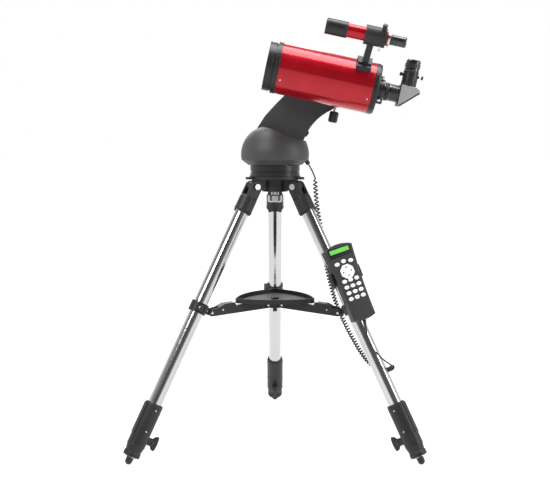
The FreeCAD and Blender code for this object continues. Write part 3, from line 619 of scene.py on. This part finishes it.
def star_diagonal():
    """The cast prism box, its dark plates, the nose and the eyepiece holder with its clamp screws."""
    profile = TUBE @ basis((0, 0, 0), (0, 1, 0), (1, 0, 0))
    body = [(143.2, -26), (146, -26), (187, 12), (187, 16.5), (179, 22), (143.2, 22)]
    bm = prism(bmesh.new(), profile, body, -17.4, 17.4, 1.6)
    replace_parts(piece("diagonal_box", bm, "prism_grey", "diagonal"), "diagonal")

    facing = profile.to_3x3()
    slope = basis(profile @ (Vector((167.4, -7.2, 0)) * MM), facing @ Vector((0.68, -0.733, 0)),
                  facing @ Vector((0.733, 0.68, 0)))
    bm = block(bmesh.new(), at(slope, 0, 0, 0.7), (36.4, 55, 2.4), 0.9)
    piece("diagonal_cover", bm, "black_paint", "diagonal")
    bm = bmesh.new()
    for x in (-14, 14):
        for y in (-23, 23):
            screw_head(bm, at(slope, x, y, 1.9), 1.9, 0.9)
    piece("diagonal_screws", bm, "steel", "diagonal")

    face_plate = [(141.4, -27), (143.6, -27), (143.6, 22.6), (141.4, 22.6)]
    bm = prism(bmesh.new(), profile, face_plate, -18, 18, 0.6)
    lathe(bm, TUBE, [(13.5, 108), (15.8, 108), (15.8, 142), (13.5, 142), (13.5, 108)])
    sleeve = [(15.9, 56), (15.9, 22.2), (16.5, 21.6), (17.4, 22.2), (17.5, 54.8), (16.8, 55.9), (15.9, 55.9)]
    lathe(bm, HOLDER, rounded(sleeve, 0.5))
    for height in (24.5, 52.8):
        bead(bm, HOLDER, 17.5, height, 1.8, 0.5)
    shanks = bmesh.new()
    for turn, reach in CLAMP_SCREWS:
        side = at(turned(HOLDER, turn), 17, 0, 46, UP_OUT)
        lathe(bm, side, [(3.4, -0.5), (3.4, 2.2), (2.6, 2.8), (0, 2.8)], 32)
        knob = [(0, reach - 2.4), (4.2, reach - 2.4), (4.6, reach - 1.6), (4.6, reach + 1.4), (4, reach + 2),
                (0, reach + 2)]
        lathe(bm, side, rounded(knob, 0.4), 60, fluted(15, 0.07))
        lathe(shanks, side, [(1.5, 2), (1.5, reach - 2), (0, reach - 2)], 24)
    piece("eyepiece_holder", bm, "black_paint", "diagonal")
    piece("holder_screw_shanks", shanks, "polished_steel", "diagonal")


def eyepiece():
    """The barrel with its grip ring, and the eye lens sunk in its top."""
    lower = rounded([(13.4, 27), (15.8, 27), (15.8, 56.5), (17, 56.5), (17, 61)], 0.4)
    grooves = [(17, 61), (16.4, 61.4), (16.4, 62.2), (17, 62.6), (17, 73.6), (16.4, 74), (16.4, 74.8),
               (17, 75.2)]
    upper = rounded([(17, 75.2), (17, 78.5), (15.4, 81.8), (10.4, 82), (9, 80.4), (9, 76), (13.4, 70),
                     (13.4, 27)], 0.6)
    bm = lathe(bmesh.new(), HOLDER, lower + grooves + upper)
    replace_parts(piece("eyepiece_barrel", bm, "gloss_black", "eyepiece"), "eyepiece")
    ring = [(16.6, 63.2), (17.3, 63.8), (17.3, 72.4), (16.6, 73), (16.6, 63.2)]
    bm = lathe(bmesh.new(), HOLDER, ring, 160, fluted(40, 0.03))
    piece("eyepiece_grip", bm, "black_rubber", "eyepiece")
    bm = lathe(bmesh.new(), HOLDER, [(0, 76), (9.2, 76), (9.2, 77.2), (6, 78.4), (0, 79)])
    piece("eye_lens", bm, "glass", "eyepiece")


# ---------------------------------------------------------------- finder
def finder():
    """The finder's two ends, its lock ring, the bracket's screws and plunger, and the shoe's screw."""
    cell = rounded([(12.9, -46), (12.9, -53.2), (14, -53.6), (17.4, -53.6), (17.4, -41), (17.4, -7.4),
                    (16.4, -4.6), (14.9, -4.4)], 0.7)
    bm = lathe(bmesh.new(), FINDER_AXIS, cell + [(14.9, -46), (12.9, -46)])
    for height in (-50.5, -9.4):
        bead(bm, FINDER_AXIS, 17.3, height, 1.6, 0.5)
    piece("finder_cell", bm, "black_paint", "telescope")
    bm = lathe(bmesh.new(), FINDER_AXIS, [(0, -49), (6, -48.7), (12.6, -47.4), (12.6, -45), (0, -45)])
    piece("finder_glass", bm, "glass", "telescope")

    ring = rounded([(14.6, 83), (15.8, 83.4), (15.8, 87.6), (13.6, 88.6), (11.5, 88.6)], 0.4)
    bm = lathe(bmesh.new(), FINDER_AXIS, ring + [(11.5, 83), (14.6, 83)], 120, fluted(30, 0.015))
    piece("finder_lock_ring", bm, "polished_steel", "telescope")

    bm = bmesh.new()
    for height, r in ((79.8, 15.0), (34, 21), (78, 21)):
        bead(bm, FINDER_AXIS, r, height, 2.0, 0.45)
    cap = rounded([(0, -1), (4.4, -1), (5.3, 0), (5.3, 5), (4.5, 5.8), (0, 5.8)], 0.5)
    for angle, base in ((0, 28.6), (240, 20.6)):
        lathe(bm, at(turned(FINDER_AXIS, angle), base, 0, 71, UP_OUT), cap, 72, fluted(18, 0.07))
    piece("finder_screws", bm, "black_plastic", "telescope")
    plunger = rounded([(0, -1), (3.3, -1), (3.3, 6.6), (2.4, 7.6), (2.4, 9), (0, 9.4)], 0.4)
    bm = lathe(bmesh.new(), at(turned(FINDER_AXIS, 133), 20.4, 0, 70, UP_OUT), plunger, 48)
    piece("finder_plunger", bm, "polished_steel", "telescope")

    grip = rounded([(10.9, 89), (11.5, 89.4), (11.5, 96), (10.9, 96.4)], 0.3)
    grip += [(10.6, 96.4), (10.6, 89), (10.9, 89)]
    bm = lathe(bmesh.new(), FINDER_AXIS, grip, 96, fluted(24, 0.03))
    for height in (103, 117.5, 121.5):
        bead(bm, FINDER_AXIS, 11.2, height, 1.4, 0.35)
    piece("finder_eye_grip", bm, "black_rubber", "finder_eyepiece")
    bm = lathe(bmesh.new(), FINDER_AXIS, [(0, 119.2), (8.1, 119.2), (8.1, 120.4), (0, 121.4)])
    piece("finder_eye_lens", bm, "glass", "finder_eyepiece")

    screw = rounded([(0, -1), (2, -1), (2, 3), (4.6, 3), (4.6, 9), (4, 10), (0, 10)], 0.5)
    bm = lathe(bmesh.new(), turned(at(FINDER, 59, -18, 49), 90, "X"), screw, 60, fluted(12, 0.08))
    piece("shoe_screw", bm, "steel", "telescope")


# ---------------------------------------------------------------- mount
ARM_TOP = Vector((140, 56, 850))            # the centre of the arm's round end, on its back face


def mount_trim():
    """The power switch on the arm's edge, the screws under the base, and the fixings on the arm's back."""
    edge = basis(Vector((74.9, 34, 731.3)) * MM, (0.894, 0, -0.447), (0, 1, 0))
    piece("switch_bezel", block(bmesh.new(), edge, (17, 11, 3.2), 1.0), "black_plastic", "azimuth")
    rocker = at(edge, 0, 0, 2.2, (9, "Y"))
    piece("power_switch", block(bmesh.new(), rocker, (11, 7, 3.2), 0.8), "gloss_black", "azimuth")

    bm = bmesh.new()
    for angle in (-120, -60, 0, 60, 120, 180):
        a = math.radians(angle)
        spot = Vector((50 * math.cos(a), 50 * math.sin(a), 659)) * MM
        screw_head(bm, basis(spot, (0, 0, -1), (0, 1, 0)), 2.6, 1.5)
    piece("base_screws", bm, "steel", "azimuth")

    bm = bmesh.new()
    for angle in (35, 145, -90):
        a = math.radians(angle)
        spot = (ARM_TOP + Vector((40 * math.cos(a), 0, 40 * math.sin(a)))) * MM
        screw_head(bm, basis(spot, (0, 1, 0), (1, 0, 0)), 2.4, 1.2)
    cap = rounded([(0, -0.3), (22, -0.3), (22, 1.2), (20, 2.4), (0, 2.8)], 0.6)
    lathe(bm, basis(ARM_TOP * MM, (0, 1, 0), (1, 0, 0)), cap, 96)
    piece("arm_fixings", bm, "black_plastic", "azimuth")


# ---------------------------------------------------------------- tripod
LEG_LEAN = math.radians(27.9)
HIP_HEIGHT, BALL_HEIGHT = 609.0, 8.0        # the leg's pivot, and the middle of the round foot
FOOT_R = 8.04
KNOB_DOWN = 625                             # how far down the leg the lock knob is


def rubber_foot(name, local):
    """The round rubber foot over the end of a lower leg."""
    ball = (HIP_HEIGHT - BALL_HEIGHT) / math.cos(LEG_LEAN)
    angles = [math.pi / 2 * k / 8 for k in range(9)]
    dome = [(FOOT_R * math.cos(a), ball + FOOT_R * math.sin(a)) for a in angles]
    cuff = [(0, 669.6), (9.2, 669.6), (9.2, 671.5), (8.3, 672.5), (8.3, ball - 2)]
    bm = lathe(bmesh.new(), local, cuff + dome[:-1] + [(0, dome[-1][1])], 48)
    piece(f"rubber_foot_{name}", bm, "black_rubber", f"lower_leg_{name}")


def lock_knob(name, local):
    """The winged knob of a leg lock, on a steel stud, with its wing along the leg."""
    knob = at(local, 0, 0, KNOB_DOWN, UP_OUT)
    bm = lathe(bmesh.new(), knob, [(0, 14.4), (3.9, 14.4), (3.9, 29), (0, 29)], 24)
    piece(f"knob_stud_{name}", bm, "steel", f"lock_knob_{name}")
    hub = rounded([(0, 28.6), (8.4, 28.6), (9, 29.4), (9, 32), (6, 36), (0, 36)], 0.7)
    bm = lathe(bmesh.new(), knob, hub, 48)
    wing = [(-17, 12), *arc((-15, 14.4), (0, 16), (15, 14.4)), (15, 14.4), (17, 12), (15, 6), (7, 0), (-7, 0),
            (-15, 6)]
    wing = [(x, y + 32) for x, y in reversed(wing)]
    flat = at(local, 0, 0, KNOB_DOWN) @ Matrix(((0, 1, 0, 0), (0, 0, 1, 0), (1, 0, 0, 0), (0, 0, 0, 1)))
    prism(bm, flat, wing, -3, 3, 1.3)
    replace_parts(piece(f"wing_knob_{name}", bm, "black_plastic", f"lock_knob_{name}"), f"lock_knob_{name}")


def leg_trim(name, local):
    """The ribs and screws on a leg's lock housing and top casting."""
    bm = bmesh.new()
    block(bm, at(local, -20.3, 0, 582), (3.4, 15, 74), 1.4)
    for angle in (118, 242):
        block(bm, at(turned(local, angle), 20.7, 0, 590), (1.8, 5, 84), 0.8)
    for height, r in ((544.5, 19.8), (641.5, 20.6)):
        bead(bm, local, r, height, 3, 0.7)
    piece(f"clamp_ribs_{name}", bm, "black_plastic", f"leg_{name}")

    bm = bmesh.new()
    for height in (556, 606):
        for angle in (90, -90):
            screw_head(bm, at(turned(local, angle), 20.9, 0, height, UP_OUT), 2.0, 1.2)
    for side in (-1, 1):
        ear = at(local, side * 10, 24, 307).translation
        screw_head(bm, basis(ear, local.to_3x3() @ Vector((side, 0, 0)), (0, 0, 1)), 3.2, 1.8)
    piece(f"leg_screws_{name}", bm, "steel", f"leg_{name}")

    bm = bmesh.new()
    for side in (-1, 1):
        block(bm, at(local, 0, side * 16.5, 40), (17, 1.6, 36), 0.7)
    collar = rounded([(19.4, 57), (21.1, 58), (21.1, 62.6), (19.4, 63.6)], 0.5)
    lathe(bm, local, collar + [(19.4, 57)], 64)
    piece(f"leg_top_ribs_{name}", bm, "black_plastic", f"leg_{name}")


def bolt_pair(bm, angle, out, up, half, r, high):
    """A bolt head on either side of a brace arm, that far out, up and to the side in millimetres."""
    a = math.radians(angle)
    outward, side = Vector((math.cos(a), math.sin(a), 0)), Vector((-math.sin(a), math.cos(a), 0))
    for turn in (-1, 1):
        spot = (outward * out + Vector((0, 0, up)) + side * turn * half) * MM
        screw_head(bm, basis(spot, side * turn, (0, 0, 1)), r, high)


def brace_bolts(name, angle):
    """The bolts and rivets of one brace arm."""
    bm = bmesh.new()
    bolt_pair(bm, angle, 171, 324, 10, 3.3, 1.9)
    bolt_pair(bm, angle, 143, 329, 10, 2.0, 1.1)
    piece(f"brace_bolts_{name}", bm, "polished_steel", f"brace_arm_{name}")


def brace_trim():
    """The bolts of the brace's hub, and the nut that holds the tray."""
    bm = bmesh.new()
    for angle in LEGS.values():
        bolt_pair(bm, angle, 25, 331, 12, 3.2, 1.6)
    piece("hub_bolts", bm, "polished_steel", "brace")
    nut = rounded([(0, -0.2), (9, -0.2), (9, 3.4), (6.4, 4.4), (0, 4.6)], 0.6)
    bm = lathe(bmesh.new(), basis((0, 0, 0.3425), (0, 0, 1), (0, 1, 0)), nut, 72, fluted(6, 0.12))
    piece("tray_nut", bm, "black_plastic", "brace")


# ---------------------------------------------------------------- hand controller
UP = Vector((-0.35, 0.215, 0.90)).normalized()
FACE = -Vector(JOINTS["press_up"]["axis"])
PAD = basis(Vector(PAD_LEAD[-1]) * MM + UP * 0.09, FACE, UP)
CASE_HALF, CASE_TOP, CASE_WAIST, CASE_LOW = 90, 35, 28.8, 27.5     # half its length, and its half-widths
ARROWS = Vector((0, 24))                    # the centre of the four arrow keys
PETAL = [(0, 1.6), (9.6, 11.2), (5.5, 14.5), (-5.5, 14.5), (-9.6, 11.2)]
SMALL_KEYS = [(-17, 45.5), (0, 48.5), (17, 45.5)]
SMALL_KEYS += [(15 * column, 4 - 13.7 * row) for row in range(4) for column in (-1, 0, 1)]
KEY_SIGNS = "-=+123456789<0>"


def petal(turns, grow=0.0):
    """One arrow key's corners round the pad's centre, counter-clockwise."""
    spin = Matrix.Rotation(math.radians(90 * turns), 2)
    return offset([tuple(ARROWS + spin @ Vector(p)) for p in reversed(PETAL)], -grow)


def case_outline():
    """The case from the front: bowed ends, and sides that draw in a little."""
    low_end, top_end = 5 - CASE_HALF, CASE_HALF - 8
    foot = arc((-CASE_LOW, low_end), (0, -CASE_HALF), (CASE_LOW, low_end), 16)
    right = arc((CASE_LOW, low_end), (CASE_WAIST, 0), (CASE_TOP, top_end), 24)
    crown = arc((CASE_TOP, top_end), (0, CASE_HALF), (-CASE_TOP, top_end), 16)
    left = arc((-CASE_TOP, top_end), (-CASE_WAIST, 0), (-CASE_LOW, low_end), 24)
    return foot + right + crown + left


def controller_case():
    """The case, with pockets cut for the window and the arrow keys, and the seam round it."""
    bm = prism(bmesh.new(), PAD, case_outline(), -13, 13, 3.2, 5)
    case = piece("controller_case", bm, "pad_grey", "leg_right")
    bm = bmesh.new()
    for turns in range(4):
        prism(bm, PAD, petal(turns, 0.35), 8.6, 16, 0)
    block(bm, at(PAD, 0, 71, 13.4), (54.6, 22.6, 2.6), 0)
    cutter = piece("cutter", bm, "black_plastic", None)
    cut = case.modifiers.new("pockets", "BOOLEAN")
    cut.object, cut.operation, cut.solver = cutter, "DIFFERENCE", "EXACT"
    bpy.context.view_layer.update()
    cut_mesh = bpy.data.meshes.new_from_object(case.evaluated_get(bpy.context.evaluated_depsgraph_get()))
    case.modifiers.clear()
    case.data = cut_mesh
    bpy.data.objects.remove(cutter)
    cut_mesh.set_sharp_from_angle(angle=CREASE)
    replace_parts(case, "controller")
    bm = prism(bmesh.new(), PAD, offset(case_outline(), -0.15), -1.1, -0.3, 0.2, 1)
    piece("controller_seam", bm, "black_rubber", "leg_right")


def controller_face():
    """The window with its lit panel, the keys, and what is marked on them."""
    window = [(-27, 60), (27, 60), (27, 82), (-27, 82)]
    bm = prism(bmesh.new(), PAD, window, 12.2, 13.0, 0.3, 2)
    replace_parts(piece("controller_window", bm, "lcd", "leg_right"), "controller_screen")
    panel = [(-23.5, -4.9), (23.5, -4.9), (23.5, 4.9), (-23.5, 4.9)]
    bm = prism(bmesh.new(), at(PAD, 0, 74.4, 0), panel, 12.8, 13.15, 0.1, 1)
    piece("lcd_panel", bm, "lcd_green", "leg_right")

    bm = bmesh.new()
    angles = [2 * math.pi * k / 36 for k in range(36)]
    for x, y in SMALL_KEYS:
        oval = [(x + 5.75 * math.cos(a), y + 4.4 * math.sin(a)) for a in angles]
        prism(bm, PAD, oval, 9.2, 14.7, 1.0, 4)
    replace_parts(piece("number_key_caps", bm, "key_white", "leg_right"), "number_keys")

    for turns, name in enumerate(("up", "left", "down", "right")):
        bm = prism(bmesh.new(), PAD, offset(petal(turns), 0.5), 10.5, 14.6, 0.9, 4)
        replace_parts(piece(f"arrow_cap_{name}", bm, "key_white", f"key_{name}"), f"key_{name}")
        spot = ARROWS + Matrix.Rotation(math.radians(90 * turns), 2) @ Vector((0, 9.6))
        dot = [(0, 0), (1.75, 0), (1.75, 0.12), (0, 0.12)]
        bm = lathe(bmesh.new(), at(PAD, spot.x, spot.y, 14.55), dot, 24)
        piece(f"arrow_dot_{name}", bm, "black_plastic", f"key_{name}")

    bm = bmesh.new()
    for (x, y), sign in zip(SMALL_KEYS, KEY_SIGNS):
        drawn_sign(bm, at(PAD, x, y, 14.68), sign, 4.6)
    piece("key_marks", bm, "mark_grey", "leg_right", smooth=False)


def drawn_sign(bm, place, sign, size):
    """One generic character as thin raised geometry, centred on its place."""
    text = bpy.data.curves.new("sign", "FONT")
    text.body, text.size, text.extrude = sign, size, 0.05
    text.align_x, text.align_y = "CENTER", "CENTER"
    text.resolution_u = 3
    o = bpy.data.objects.new("sign", text)
    mesh = bpy.data.meshes.new_from_object(o)
    mesh.transform(place @ Matrix.Scale(MM, 4))
    bm.from_mesh(mesh)
    bpy.data.meshes.remove(mesh)
    bpy.data.objects.remove(o)
    bpy.data.curves.remove(text)


# ---------------------------------------------------------------- the frame's own nodes
def skins():
    """Each node in the finish that the record gives it."""
    finish = {row["node"]: row["material_slot"] for row in frame["record"]["subparts"]}
    for name, o in nodes.items():
        skin(o, finish[name])


camera()
studio()
floor()
cords()
skins()
tube_screws()
front_and_rear_trim()
focus_knob()
saddle_knob()
star_diagonal()
eyepiece()
finder()
mount_trim()
for leg_name, leg_angle in LEGS.items():
    leg = leg_frame(leg_name)
    rubber_foot(leg_name, leg)
    lock_knob(leg_name, leg)
    leg_trim(leg_name, leg)
    brace_bolts(leg_name, leg_angle)
brace_trim()
controller_case()
controller_face()
